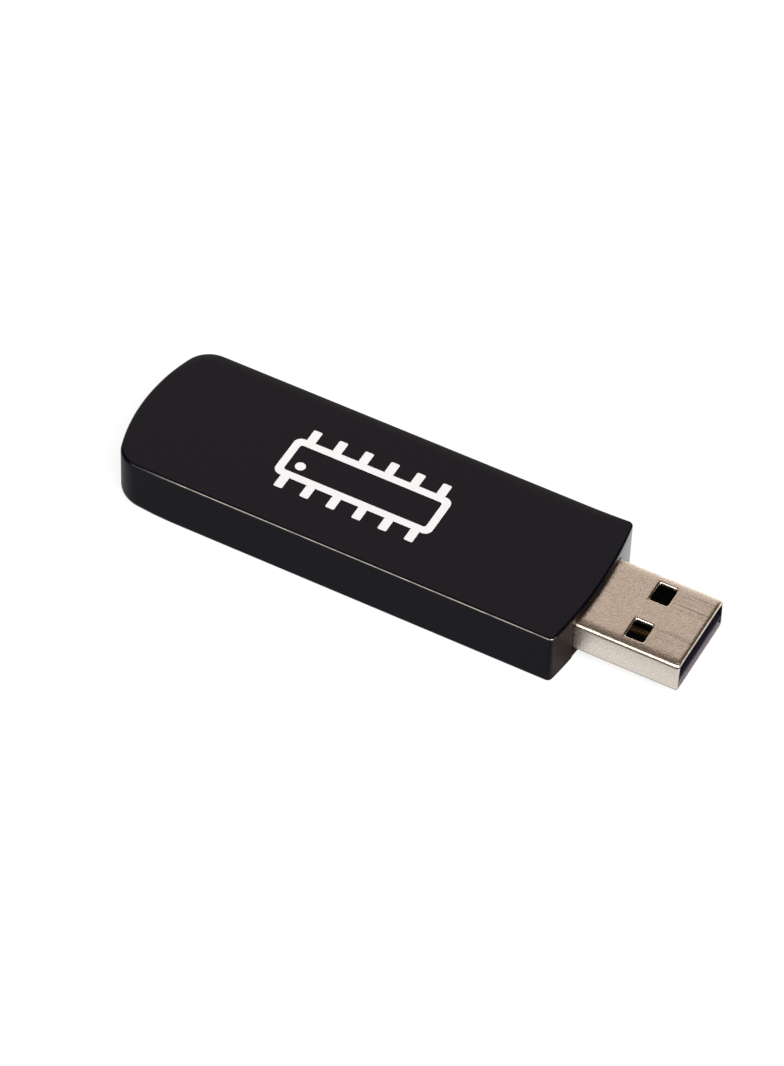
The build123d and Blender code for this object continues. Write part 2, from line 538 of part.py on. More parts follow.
def all_nodes():
    """Every sub-part by the name of its node."""
    crystal_base, crystal_lid = crystal()
    fuse_body, fuse_ends = chip_part(FUSE_PLACES, (3.2, 1.6, 0.7), 0.4)
    ceramic_bodies, ceramic_ends = chip_part(CERAMIC_PLACES, (1.6, 0.8, 0.8), 0.3)
    resistor_bodies, resistor_ends = chip_part(RESISTOR_PLACES, (1.6, 0.8, 0.45), 0.28)
    light_bodies, light_lenses = status_lights()
    nodes = {
        "upper_shell": upper_shell(),
        "base_cover": base_cover(),
        "light_pipes": group(light_pipe(x) for x in LIGHT_XS),
        "plug_shell": plug_shell(),
        "plug_tongue": plug_tongue(),
        "plug_solder": plug_solder(),
        "circuit_board": circuit_board(),
        "microcontroller": package_body(MCU_PLACE, (10.0, 10.0, 1.0)),
        "microcontroller_leads": package_leads(MCU_PLACE, (11, 11), 0.8, (5.0, 5.0), QFP_LEAD),
        "voltage_regulator": package_body(REGULATOR_PLACE, (6.5, 3.5, 1.6), pin_mark=False),
        "voltage_regulator_leads": regulator_leads(),
        "memory_chip": package_body(MEMORY_PLACE, (3.9, 4.9, 1.4)),
        "memory_chip_leads": package_leads(MEMORY_PLACE, (4, 0), 1.27, (1.95, 0), SOIC_LEAD),
        "level_shifter": package_body(SHIFTER_PLACE, (4.4, 5.0, 0.95)),
        "level_shifter_leads": package_leads(SHIFTER_PLACE, (7, 0), 0.65, (2.2, 0), TSSOP_LEAD),
        "surge_protector": package_body(PROTECTOR_PLACE, (1.6, 2.9, 1.1)),
        "surge_protector_leads": package_leads(PROTECTOR_PLACE, (3, 0), 0.95, (0.8, 0), SOT_LEAD),
        "supply_transistor": package_body(TRANSISTOR_PLACE, (1.3, 2.9, 1.0), pin_mark=False),
        "supply_transistor_leads": transistor_leads(),
        "crystal_base": crystal_base,
        "crystal_lid": crystal_lid,
        "resettable_fuse": fuse_body,
        "resettable_fuse_ends": fuse_ends,
        "tantalum_capacitors": tantalum_bodies(),
        "tantalum_capacitor_straps": tantalum_leads(),
        "ceramic_capacitors": ceramic_bodies,
        "ceramic_capacitor_ends": ceramic_ends,
        "resistors": resistor_bodies,
        "resistor_ends": resistor_ends,
        "status_lights": light_bodies,
        "status_light_lenses": light_lenses,
        "target_socket_housing": socket_housing(),
        "target_socket_contacts": group(socket_contact(y) for y in SOCKET_YS),
        "target_socket_solder": socket_solder(),
        "switch_base": switch_base(),
        "switch_frame": switch_frame(),
        "switch_terminals": switch_terminals(),
        "switch_actuator": switch_actuator(),
        "switch_wiper": switch_wiper(),
        "switch_cap": switch_cap(),
    }
    for name in CONTACT_YS:
        nodes[f"plug_contact_{name}"] = plug_contact(name)
    return nodes


os.makedirs("parts", exist_ok=True)
for node, shape in all_nodes().items():
    export_step(shape, f"parts/{node}.step")
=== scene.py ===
import math

import bmesh
import bpy
import numpy as np
from mathutils import Matrix, Vector


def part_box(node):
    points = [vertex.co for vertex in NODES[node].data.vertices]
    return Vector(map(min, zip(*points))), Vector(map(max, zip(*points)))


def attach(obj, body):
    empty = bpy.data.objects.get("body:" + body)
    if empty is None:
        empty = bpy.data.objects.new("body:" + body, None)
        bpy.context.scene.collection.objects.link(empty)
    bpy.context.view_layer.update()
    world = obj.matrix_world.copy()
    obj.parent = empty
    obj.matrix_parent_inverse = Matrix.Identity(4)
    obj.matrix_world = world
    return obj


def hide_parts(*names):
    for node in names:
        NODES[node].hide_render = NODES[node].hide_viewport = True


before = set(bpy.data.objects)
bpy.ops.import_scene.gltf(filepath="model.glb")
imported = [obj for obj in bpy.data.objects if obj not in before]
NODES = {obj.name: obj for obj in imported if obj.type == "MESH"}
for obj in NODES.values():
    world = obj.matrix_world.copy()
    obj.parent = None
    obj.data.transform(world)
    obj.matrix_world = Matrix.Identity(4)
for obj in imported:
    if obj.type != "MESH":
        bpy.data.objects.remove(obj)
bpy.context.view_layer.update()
MM = 0.001

# The casing's own measures, as in the CAD source, in millimetres.
REAR_ARC_R, FRONT_ARC_R = 25.0, 60.0
REAR_CORNER_R, FRONT_CORNER_R, MIN_CORNER_R = 3.6, 0.7, 0.3
SIDE_WALL, ROOF = 1.2, 1.0
COVER_THICKNESS, COVER_INSET, JOIN_GAP = 1.0, 0.95, 0.05
PLUG_HALF, PLUG_SHEET, PLUG_FOLD_R = 6.0, 0.3, 0.5
SWITCH_TRAVEL = 1.5


def mm_box(node):
    """Lowest and highest corner of a CAD node in millimetres."""
    low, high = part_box(node)
    return low / MM, high / MM


SHELL_LOW, SHELL_HIGH = mm_box("upper_shell")
PLUG_LOW, PLUG_HIGH = mm_box("plug_shell")
REAR_X, FRONT_X = SHELL_LOW.x, SHELL_HIGH.x
HALF_WIDTH, TOP_Z = SHELL_HIGH.y, SHELL_HIGH.z
TIP_X, PLUG_REAR_X = PLUG_HIGH.x, PLUG_LOW.x
PLUG_MIDDLE_Z = (PLUG_LOW.z + PLUG_HIGH.z) / 2


def eased(value, low, high):
    """0 at low, 1 at high, with no kink at either end."""
    t = max(0.0, min(1.0, (value - low) / (high - low)))
    return t * t * (3 - 2 * t)


# ------------------------------------------------------------------ mesh tools
def new_object(name, mesh):
    obj = bpy.data.objects.new(name, mesh)
    bpy.context.scene.collection.objects.link(obj)
    return obj


def mesh_object(name, points_mm, faces):
    """A mesh from points in millimetres, with its faces turned outwards."""
    mesh = bpy.data.meshes.new(name)
    mesh.from_pydata([Vector(p) * MM for p in points_mm], [], faces)
    bm = bmesh.new()
    bm.from_mesh(mesh)
    bmesh.ops.recalc_face_normals(bm, faces=bm.faces)
    bm.to_mesh(mesh)
    bm.free()
    return new_object(name, mesh)


def loft(name, rings):
    """A closed solid through rings of the same number of points, capped at both ends."""
    count = len(rings[0])
    points = [p for ring in rings for p in ring]
    faces = [list(range(count)), list(range(count * (len(rings) - 1), count * len(rings)))]
    for r in range(len(rings) - 1):
        for i in range(count):
            j = (i + 1) % count
            faces.append([r * count + i, r * count + j, (r + 1) * count + j, (r + 1) * count + i])
    return mesh_object(name, points, faces)


def rounded_rectangle(u_range, v_range, radius, steps=6):
    """Corner-rounded rectangle as a closed list of points."""
    (u0, u1), (v0, v1) = u_range, v_range
    if radius <= 0:
        return [(u0, v0), (u1, v0), (u1, v1), (u0, v1)]
    points = []
    corners = [
        (u1 - radius, v0 + radius, -90),
        (u1 - radius, v1 - radius, 0),
        (u0 + radius, v1 - radius, 90),
        (u0 + radius, v0 + radius, 180),
    ]
    for cu, cv, start in corners:
        for i in range(steps + 1):
            angle = math.radians(start + 90 * i / steps)
            points.append((cu + radius * math.cos(angle), cv + radius * math.sin(angle)))
    return points


def block(name, low, high, axis=2, radius=0.0):
    """A box in millimetres, with its edges along one axis rounded."""
    u, v = (a for a in range(3) if a != axis)
    outline = rounded_rectangle((low[u], high[u]), (low[v], high[v]), radius)
    rings = []
    for level in (low[axis], high[axis]):
        points = []
        for place in outline:
            point = [level] * 3
            point[u], point[v] = place
            points.append(point)
        rings.append(points)
    return loft(name, rings)


def circle(centre_u, centre_v, radius, steps):
    """Points round a circle."""
    turns = (math.tau * i / steps for i in range(steps))
    return [(centre_u + radius * math.cos(t), centre_v + radius * math.sin(t)) for t in turns]


def modified(obj):
    """Applies an object's modifiers to its mesh."""
    graph = bpy.context.evaluated_depsgraph_get()
    mesh = bpy.data.meshes.new_from_object(obj.evaluated_get(graph))
    old = obj.data
    obj.modifiers.clear()
    obj.data = mesh
    bpy.data.meshes.remove(old)
    return obj


def boolean(obj, others, operation="DIFFERENCE"):
    """Cuts or joins solids, exactly, and removes the tools."""
    for other in others:
        mod = obj.modifiers.new("cut", "BOOLEAN")
        mod.operation, mod.solver, mod.object = operation, "EXACT", other
        bpy.context.view_layer.update()
        modified(obj)
        bpy.data.objects.remove(other)
    return obj


def round_edges(obj, width_mm, angle):
    """A small bevel modifier on the edges sharper than an angle."""
    mod = obj.modifiers.new("edges", "BEVEL")
    mod.width, mod.segments, mod.limit_method = width_mm * MM, 2, "ANGLE"
    mod.angle_limit, mod.use_clamp_overlap = math.radians(angle), True


def bevel(obj, width_mm, angle):
    round_edges(obj, width_mm, angle)
    return modified(obj)


def smooth(obj, angle):
    """Smooth shading, with edges sharper than the angle kept crisp."""
    mesh = obj.data
    bm = bmesh.new()
    bm.from_mesh(mesh)
    for face in bm.faces:
        face.smooth = True
    for edge in bm.edges:
        sharp = len(edge.link_faces) == 2 and edge.calc_face_angle(0) > math.radians(angle)
        edge.smooth = not sharp
    bm.to_mesh(mesh)
    bm.free()
    return obj


def weigh_normals(obj):
    mod = obj.modifiers.new("weigh", "WEIGHTED_NORMAL")
    mod.mode, mod.keep_sharp, mod.weight = "FACE_AREA", True, 50
    return obj


# ------------------------------------------------------------------ casing
def corner(half, arc_x, arc_r, radius, end):
    """Centre of the fillet between the side at +half and an end arc, and where it meets both."""
    reach = math.sqrt((arc_r - radius) ** 2 - (half - radius) ** 2)
    centre = Vector((arc_x + end * reach, half - radius))
    outward = (centre - Vector((arc_x, 0))).normalized()
    return centre, math.atan2(outward.y, outward.x)


SIDE_STEPS, CORNER_STEPS, ARC_STEPS = 24, 14, 40


def plan(inset):
    """The casing's outline moved in by inset, as points that match from one inset to the next."""
    half = HALF_WIDTH - inset
    rear_x, rear_r = REAR_X + REAR_ARC_R, REAR_ARC_R - inset
    front_x, front_r = FRONT_X - FRONT_ARC_R, FRONT_ARC_R - inset
    rear_cr, front_cr = (max(r - inset, MIN_CORNER_R) for r in (REAR_CORNER_R, FRONT_CORNER_R))
    rear_c, rear_turn = corner(half, rear_x, rear_r, rear_cr, -1)
    front_c, front_turn = corner(half, front_x, front_r, front_cr, 1)
    upper = []  # the +Y half, from the front's middle to the rear's middle
    for i in range(ARC_STEPS):
        angle = front_turn * i / ARC_STEPS
        upper.append((front_x + front_r * math.cos(angle), front_r * math.sin(angle)))
    for i in range(CORNER_STEPS):
        angle = front_turn + (math.pi / 2 - front_turn) * i / CORNER_STEPS
        upper.append((front_c.x + front_cr * math.cos(angle), front_c.y + front_cr * math.sin(angle)))
    for i in range(SIDE_STEPS):
        upper.append((front_c.x + (rear_c.x - front_c.x) * i / SIDE_STEPS, half))
    for i in range(CORNER_STEPS):
        angle = math.pi / 2 + (rear_turn - math.pi / 2) * i / CORNER_STEPS
        upper.append((rear_c.x + rear_cr * math.cos(angle), rear_c.y + rear_cr * math.sin(angle)))
    for i in range(ARC_STEPS + 1):
        angle = rear_turn + (math.pi - rear_turn) * i / ARC_STEPS
        upper.append((rear_x + rear_r * math.cos(angle), rear_r * math.sin(angle)))
    return upper + [(x, -y) for x, y in reversed(upper[1:-1])]


def ring(inset, z):
    return [(x, y, z) for x, y in plan(inset)]


EDGE_R, EDGE_R_REAR, EDGE_R_FAR = 0.38, 0.46, 0.20  # of the top edge: near side, its rear, +Y side
FALL_KEPT, FALL_ADDED = 0.15, 1.25  # width of the shallow fall before the +Y edge, and what the rear adds
FALL_TILT = 16.0  # degrees, where the fall runs into the edge's arc


def top_edge(x, y):
    """Radius of the top edge and the width of the shallow fall before it, at a point of the outline."""
    rear, plus_y = eased(-x, 20.0, 33.0), eased(y, 3.0, 10.0)
    radius = EDGE_R + (EDGE_R_REAR - EDGE_R) * rear * (1 - plus_y) + (EDGE_R_FAR - EDGE_R) * plus_y
    fall = plus_y * FALL_ADDED * (1 - eased(x, 18.5, 22.5)) + FALL_KEPT * plus_y
    return radius, fall


def top_point(x, y, turn, share):
    """(inset, height) on the top edge: turn runs 0 to 1 round the arc, then share 0 to 1 over the fall."""
    radius, fall = top_edge(x, y)
    tilt = math.radians(FALL_TILT) * min(1.0, fall / 0.5)
    drop = fall * math.tan(tilt) / 2
    angle = turn * (math.pi / 2 - tilt)
    centre_z = TOP_Z - drop - radius * math.cos(tilt)
    if share == 0:
        return radius * (1 - math.cos(angle)), centre_z + radius * math.sin(angle)
    return radius * (1 - math.sin(tilt)) + fall * share, TOP_Z - drop * (1 - share) ** 2


BOTTOM_R, BOTTOM_R_REAR = 0.55, 1.5


def bottom_point(x, turn):
    """(inset, height) on the bottom edge, whose radius fits the front corners and grows to the rear."""
    radius = BOTTOM_R + (BOTTOM_R_REAR - BOTTOM_R) * eased(-x, 28.0, 35.0)
    angle = math.radians(90 * turn)
    return radius * (1 - math.cos(angle)), radius * (1 - math.sin(angle))


UNIT_INSET = 0.3  # of the outline that shows which way each point moves inwards
CAP_INSET, CAP_STEP = 2.0, 2.5  # the flats' rings, inside the widest edge
EDGE_STEPS, FALL_STEPS, BOTTOM_STEPS = 14, 7, 10


def shaped_ring(place):
    """A ring whose inset and height vary along the outline, as place(x, y) gives them."""
    points = []
    for (x, y), (inner_x, inner_y) in zip(plan(0), plan(UNIT_INSET)):
        inset, z = place(x, y)
        share = inset / UNIT_INSET
        points.append((x + (inner_x - x) * share, y + (inner_y - y) * share, z))
    return points


def casing_rings():
    """Rings from the underside's middle out, up the wall and over the top edge."""
    rings = [ring(CAP_INSET, 0.0)]
    for i in range(BOTTOM_STEPS, -1, -1):
        rings.append(shaped_ring(lambda x, y, t=i / BOTTOM_STEPS: bottom_point(x, t)))
    rings += [ring(0.0, TOP_Z * share) for share in (0.25, 0.5, 0.75)]
    for i in range(EDGE_STEPS + 1):
        rings.append(shaped_ring(lambda x, y, t=i / EDGE_STEPS: top_point(x, y, t, 0)))
    for i in range(1, FALL_STEPS + 1):
        rings.append(shaped_ring(lambda x, y, t=i / FALL_STEPS: top_point(x, y, 1, t)))
    return rings + [ring(CAP_INSET, TOP_Z), ring(CAP_INSET + CAP_STEP, TOP_Z)]


PLUG_GAP, SOCKET_GAP, SOCKET_GAP_BELOW = 0.1, 0.15, 0.1
SLOT_HALF_LENGTH, SLOT_HALF_HEIGHT, SLOT_R = 3.3, 1.2, 0.4
PIPE_R, PIPE_INSET = 1.0, 1.4  # the light holes' radius, and their centres in from the pipes' ends
SIDE_OPENINGS_RISE = 0.75  # of the side openings' middle above the socket's underside


def casing_openings():
    """Solids to cut for the plug, the target socket, the switch cap and the light pipes."""
    half, top = PLUG_HALF + PLUG_GAP, PLUG_HIGH.z + PLUG_GAP
    opening = block("opening", (FRONT_X - 4, -half, -1), (FRONT_X + 1, half, top), 0, PLUG_FOLD_R)
    square_off = block("square_off", (FRONT_X - 4, -half, -1), (FRONT_X + 1, half, 3.0))
    low, high = mm_box("target_socket_housing")
    socket_low = (REAR_X - 1, low.y - SOCKET_GAP, low.z - SOCKET_GAP_BELOW)
    socket_high = (REAR_X + 5, high.y + SOCKET_GAP, high.z + SOCKET_GAP)
    window = block("window", socket_low, socket_high, 0, 0.25)
    inner_y, outer_y = HALF_WIDTH - 2.2, HALF_WIDTH + 1
    mid_z = low.z + SIDE_OPENINGS_RISE
    cap_low, cap_high = mm_box("switch_cap")
    mid_x = (cap_low.x + cap_high.x) / 2 + SWITCH_TRAVEL / 2
    slot_low = (mid_x - SLOT_HALF_LENGTH, inner_y, mid_z - SLOT_HALF_HEIGHT)
    slot_high = (mid_x + SLOT_HALF_LENGTH, outer_y, mid_z + SLOT_HALF_HEIGHT)
    slot = block("slot", slot_low, slot_high, 1, SLOT_R)
    pipe_low, pipe_high = mm_box("light_pipes")
    holes = []
    for centre_x in (pipe_low.x + PIPE_INSET, pipe_high.x - PIPE_INSET):
        outline = circle(centre_x, mid_z, PIPE_R, 40)
        holes.append(loft("hole", [[(x, y, z) for x, z in outline] for y in (inner_y, outer_y)]))
    return [opening, square_off, window, slot, *holes]


def casing_top():
    """The upper moulding, hollow, with its openings cut and their edges eased."""
    shell = loft("casing_top", casing_rings())
    plate_top = COVER_THICKNESS + JOIN_GAP
    hollow = loft("hollow", [ring(SIDE_WALL, -1), ring(SIDE_WALL, TOP_Z - ROOF)])
    rebate = loft("rebate", [ring(COVER_INSET, -1), ring(COVER_INSET, plate_top)])
    boolean(shell, [hollow, rebate, *casing_openings()])
    bevel(shell, 0.07, 50)
    smooth(shell, 40)
    weigh_normals(shell)
    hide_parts("upper_shell")
    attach(shell, "stick")
    return shell


# ------------------------------------------------------------------ plug sleeve
WINDOW_Y, WINDOW_SIZE, WINDOW_BACK, WINDOW_R = 3.2, (2.3, 2.9), 5.3, 0.25
WINDOW_X = TIP_X - WINDOW_BACK - WINDOW_SIZE[0] / 2
RIM_ROLL = 0.26  # how far the sheet turns down into each window
SHOULDER_Y, SHOULDER_CURVE = 4.45, 0.13  # where the top starts to fall to its folds, and how fast, per mm
TIP_ROUND, TIP_STEPS = 0.18, 5
TIP_COIN, TIP_COIN_SIDE, TIP_COIN_LENGTH = 0.13, 0.08, 0.45
WAVE_DEPTH = 0.005


def spread(low, high, step, marks, fine=0.05, reach=0.3):
    """Places about a step apart from low to high, and closer together around the marks."""
    count = round((high - low) / step)
    places = [low + (high - low) * i / count for i in range(count + 1)]
    half = round(reach / fine)
    places += [mark + i * fine for mark in marks for i in range(-half, half + 1)]
    kept = [low]
    for place in sorted(places):
        if kept[-1] + 0.6 * fine < place < high - 0.6 * fine:
            kept.append(place)
    return [*kept, high]


def fold_tilt():
    """Angle at which the falling top runs into the fold's arc."""
    tilt = 0.3
    for _ in range(20):
        reach = PLUG_HALF - PLUG_FOLD_R + PLUG_FOLD_R * math.sin(tilt) - SHOULDER_Y
        tilt = math.atan(2 * SHOULDER_CURVE * reach)
    return tilt


def shoulder(y, inset):
    """A point of the sleeve's top, moved in by inset square to the surface."""
    beyond = max(0.0, abs(y) - SHOULDER_Y)
    tilt = math.atan(2 * SHOULDER_CURVE * beyond)
    z = PLUG_HIGH.z - SHOULDER_CURVE * beyond**2
    return y - math.copysign(inset * math.sin(tilt), y), z - inset * math.cos(tilt)


FOLD_STEPS, WALL_STEPS = 10, 16


def sleeve_section(inset):
    """The sleeve's section: flat underneath, its top falling gently to the two folds."""
    half, low, radius = PLUG_HALF - inset, PLUG_LOW.z + inset, PLUG_FOLD_R - inset
    tilt = fold_tilt()
    join_y = PLUG_HALF - PLUG_FOLD_R + PLUG_FOLD_R * math.sin(tilt)
    fold_z = shoulder(join_y, 0)[1] - PLUG_FOLD_R * math.cos(tilt)
    borders = [side * WINDOW_Y + edge * WINDOW_SIZE[1] / 2 for side in (-1, 1) for edge in (-1, 1)]
    right = []  # from the middle of the underside up the +Y side to the middle of the top
    bottom_y = [y for y in spread(-half + radius, half - radius, 0.3, borders) if y > 1e-6]
    right += [(y, low) for y in bottom_y]
    for i in range(1, FOLD_STEPS + 1):
        angle = math.radians(-90 + 90 * i / FOLD_STEPS)
        right.append((half - radius + radius * math.cos(angle), low + radius + radius * math.sin(angle)))
    wall_low = low + radius
    right += [(half, wall_low + (fold_z - wall_low) * i / WALL_STEPS) for i in range(1, WALL_STEPS)]
    for i in range(FOLD_STEPS + 1):
        angle = (math.pi / 2 - tilt) * i / FOLD_STEPS
        right.append((half - radius + radius * math.cos(angle), fold_z + radius * math.sin(angle)))
    top_y = [y for y in spread(-join_y, join_y, 0.2, borders) if 1e-6 < y < join_y - 0.02]
    right += [shoulder(y, inset) for y in reversed(top_y)]
    left = [(-y, z) for y, z in reversed(right)]
    return [(0.0, low), *right, (0.0, PLUG_HIGH.z - inset), *left]


def sleeve_stations():
    """(place, inset) along the sleeve: close together where it shows, with the tip's outer edge rounded."""
    start = FRONT_X - 1.2
    hidden = np.linspace(PLUG_REAR_X, start, 9)[:-1]
    borders = [WINDOW_X - WINDOW_SIZE[0] / 2, WINDOW_X + WINDOW_SIZE[0] / 2]
    shown = spread(start, TIP_X - TIP_ROUND, 0.2, borders)
    stations = [(x, 0.0) for x in (*hidden, *shown)]
    for i in range(1, TIP_STEPS + 1):
        angle = math.radians(90 * i / TIP_STEPS)
        stations.append((TIP_X - TIP_ROUND * (1 - math.sin(angle)), TIP_ROUND * (1 - math.cos(angle))))
    return stations


def plug_sleeve():
    """The folded plug sleeve, with turned-in window edges, a coined tip and the seam underneath."""
    rings = [[(x, y, z) for y, z in sleeve_section(inset)] for x, inset in sleeve_stations()]
    outer = loft("plug_sleeve", rings)
    ends = (PLUG_REAR_X - 1, TIP_X + 1)
    inner_rings = [[(x, y, z) for y, z in sleeve_section(PLUG_SHEET)] for x in ends]
    tools = [loft("inside", inner_rings)]
    for y in (-WINDOW_Y, WINDOW_Y):
        low = (WINDOW_X - WINDOW_SIZE[0] / 2, y - WINDOW_SIZE[1] / 2, PLUG_LOW.z - 1)
        high = (WINDOW_X + WINDOW_SIZE[0] / 2, y + WINDOW_SIZE[1] / 2, PLUG_HIGH.z + 1)
        tools.append(block("latch_window", low, high, 2, WINDOW_R))
    tools.append(seam_tool())
    boolean(outer, tools)
    mark_inside(outer)
    bevel(outer, 0.035, 60)
    shape_sheet(outer)
    smooth(outer, 50)
    ears = []
    board_top = mm_box("circuit_board")[1].z
    for side in (-1, 1):
        ys = sorted((side * (PLUG_HALF - 0.2), side * (PLUG_HALF + 1.6)))
        low, high = (PLUG_REAR_X + 0.8, ys[0], board_top), (PLUG_REAR_X + 2.8, ys[1], board_top + PLUG_SHEET)
        ears.append(block("ear", low, high))
    boolean(outer, ears, "UNION")
    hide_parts("plug_shell")
    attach(outer, "stick")
    return outer


def mark_inside(obj):
    """Gives the sleeve's inner faces the second material."""
    depth = PLUG_SHEET - 0.01
    for polygon in obj.data.polygons:
        centre = polygon.center / MM
        outward = polygon.normal.y * centre.y + polygon.normal.z * (centre.z - PLUG_MIDDLE_Z)
        deep = PLUG_LOW.z + depth < centre.z < PLUG_HIGH.z - depth and abs(centre.y) <= PLUG_HALF - PLUG_SHEET
        polygon.material_index = 1 if deep and outward < 0 else 0


SEAM_WIDTH = 0.07


def seam_tool():
    """A thin wall along the dovetailed seam of the sleeve's underside."""
    half = SEAM_WIDTH / 2
    path = [
        (PLUG_REAR_X - 1, 0.0),
        (TIP_X - 12.0, 0.0),
        (TIP_X - 12.4, 1.0),
        (TIP_X - 9.6, 1.0),
        (TIP_X - 10.0, 0.0),
        (TIP_X + 1, 0.0),
    ]
    left, right = [], []
    for i, p in enumerate(path):
        before = Vector(path[max(i - 1, 0)])
        after = Vector(path[min(i + 1, len(path) - 1)])
        here = Vector(p)
        first = (here - before).normalized() if i else (after - here).normalized()
        last = (after - here).normalized() if i < len(path) - 1 else first
        normal = Vector((-(first + last).y, (first + last).x)).normalized()
        width = half / max(normal.dot(Vector((-first.y, first.x))), 0.3)
        left.append(here + normal * width)
        right.append(here - normal * width)
    outline = [*left, *reversed(right)]
    rings = [[(p.x, p.y, z) for p in outline] for z in (PLUG_LOW.z - 0.2, PLUG_LOW.z + PLUG_SHEET + 0.1)]
    return loft("seam", rings)


def window_distance(x, y, centre_y):
    """Distance outside a latch window's rounded outline, negative within it."""
    beyond_x = abs(x - WINDOW_X) - (WINDOW_SIZE[0] / 2 - WINDOW_R)
    beyond_y = abs(y - centre_y) - (WINDOW_SIZE[1] / 2 - WINDOW_R)
    return math.hypot(max(beyond_x, 0), max(beyond_y, 0)) + min(max(beyond_x, beyond_y), 0) - WINDOW_R


def shape_sheet(obj):
    """Turns the sheet down at the windows, coins the tip and gives the flats the faint waves of stamping."""
    for vertex in obj.data.vertices:
        p = vertex.co / MM
        if p.x < FRONT_X - 1:
            continue
        coin = max(0.0, (p.x - (TIP_X - TIP_COIN_LENGTH)) / TIP_COIN_LENGTH) ** 2
        upper = eased(p.z, PLUG_MIDDLE_Z, PLUG_HIGH.z - PLUG_FOLD_R)
        down = TIP_COIN * coin * upper
        if abs(p.y) > 5.0:
            vertex.co.y -= math.copysign(TIP_COIN_SIDE * coin * upper * MM, p.y)
        if abs(p.y) < PLUG_HALF - PLUG_FOLD_R and abs(p.z - PLUG_MIDDLE_Z) > 1.7:
            for y in (-WINDOW_Y, WINDOW_Y):
                gap = max(0.0, window_distance(p.x, p.y, y))
                if gap < RIM_ROLL:
                    turned = RIM_ROLL - math.sqrt(RIM_ROLL**2 - (RIM_ROLL - gap) ** 2)
                    down += turned if p.z > PLUG_MIDDLE_Z else -turned
            fade = eased(5.4 - abs(p.y), 0.0, 0.8) * (1 - coin)
            down += WAVE_DEPTH * math.sin(p.x * 1.15 + 0.6) * math.sin(p.y * 0.9 + 0.4) * fade
        vertex.co.z -= down * MM


# ------------------------------------------------------------------ print on the top
def stroke_outline(outer, inner, z, name, steps=8):
    """A raised frame between two rounded rectangles given as (u range, v range, radius)."""
    a, b = rounded_rectangle(*outer, steps), rounded_rectangle(*inner, steps)
    count = len(a)
    points, faces = [], []
    for level in z:
        points += [(u, v, level) for u, v in a] + [(u, v, level) for u, v in b]
    for i in range(count):
        j = (i + 1) % count
        lo_a, lo_b, hi_a, hi_b = 0, count, 2 * count, 3 * count
        faces.append([hi_a + i, hi_a + j, hi_b + j, hi_b + i])
        faces.append([lo_a + i, lo_b + i, lo_b + j, lo_a + j])
        faces.append([lo_a + i, lo_a + j, hi_a + j, hi_a + i])
        faces.append([lo_b + i, hi_b + i, hi_b + j, lo_b + j])
    return mesh_object(name, points, faces)


MARK_CENTRE = (-7.5, 0.0)
MARK_BODY, MARK_STROKE, MARK_CORNERS = (21.0, 6.4), 1.0, (1.0, 0.35)
MARK_PINS, PIN_SIZE, PIN_ROW_MARGIN = 6, (1.15, 1.9), 3.6
DOT_R, DOT_INSET = 0.65, (2.6, 2.3)
INK_RISE, INK_DEPTH = 0.012, 0.01


def chip_mark():
    """A white printed pictogram of a chip: body outline, pins on two sides and a pin-1 dot."""
    z = (TOP_Z - INK_DEPTH, TOP_Z + INK_RISE)
    cx, cy = MARK_CENTRE
    length, width = MARK_BODY
    left, right, low, high = cx - length / 2, cx + length / 2, cy - width / 2, cy + width / 2
    s = MARK_STROKE
    outer = ((left, right), (low, high), MARK_CORNERS[0])
    inner = ((left + s, right - s), (low + s, high - s), MARK_CORNERS[1])
    body = stroke_outline(outer, inner, z, "printed_mark")
    extras = []
    row = length - PIN_ROW_MARGIN
    for i in range(MARK_PINS):
        x = cx - row / 2 + row * i / (MARK_PINS - 1)
        for side in (-1, 1):
            v = sorted((cy + side * (width / 2 - 0.05), cy + side * (width / 2 + PIN_SIZE[1])))
            corners = (x - PIN_SIZE[0] / 2, v[0], z[0]), (x + PIN_SIZE[0] / 2, v[1], z[1])
            extras.append(block("pin", *corners, 2, 0.2))
    dot = circle(left + DOT_INSET[0], low + DOT_INSET[1], DOT_R, 32)
    extras.append(loft("dot", [[(u, v, level) for u, v in dot] for level in z]))
    boolean(body, extras, "UNION")
    smooth(body, 30)
    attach(body, "stick")
    return body


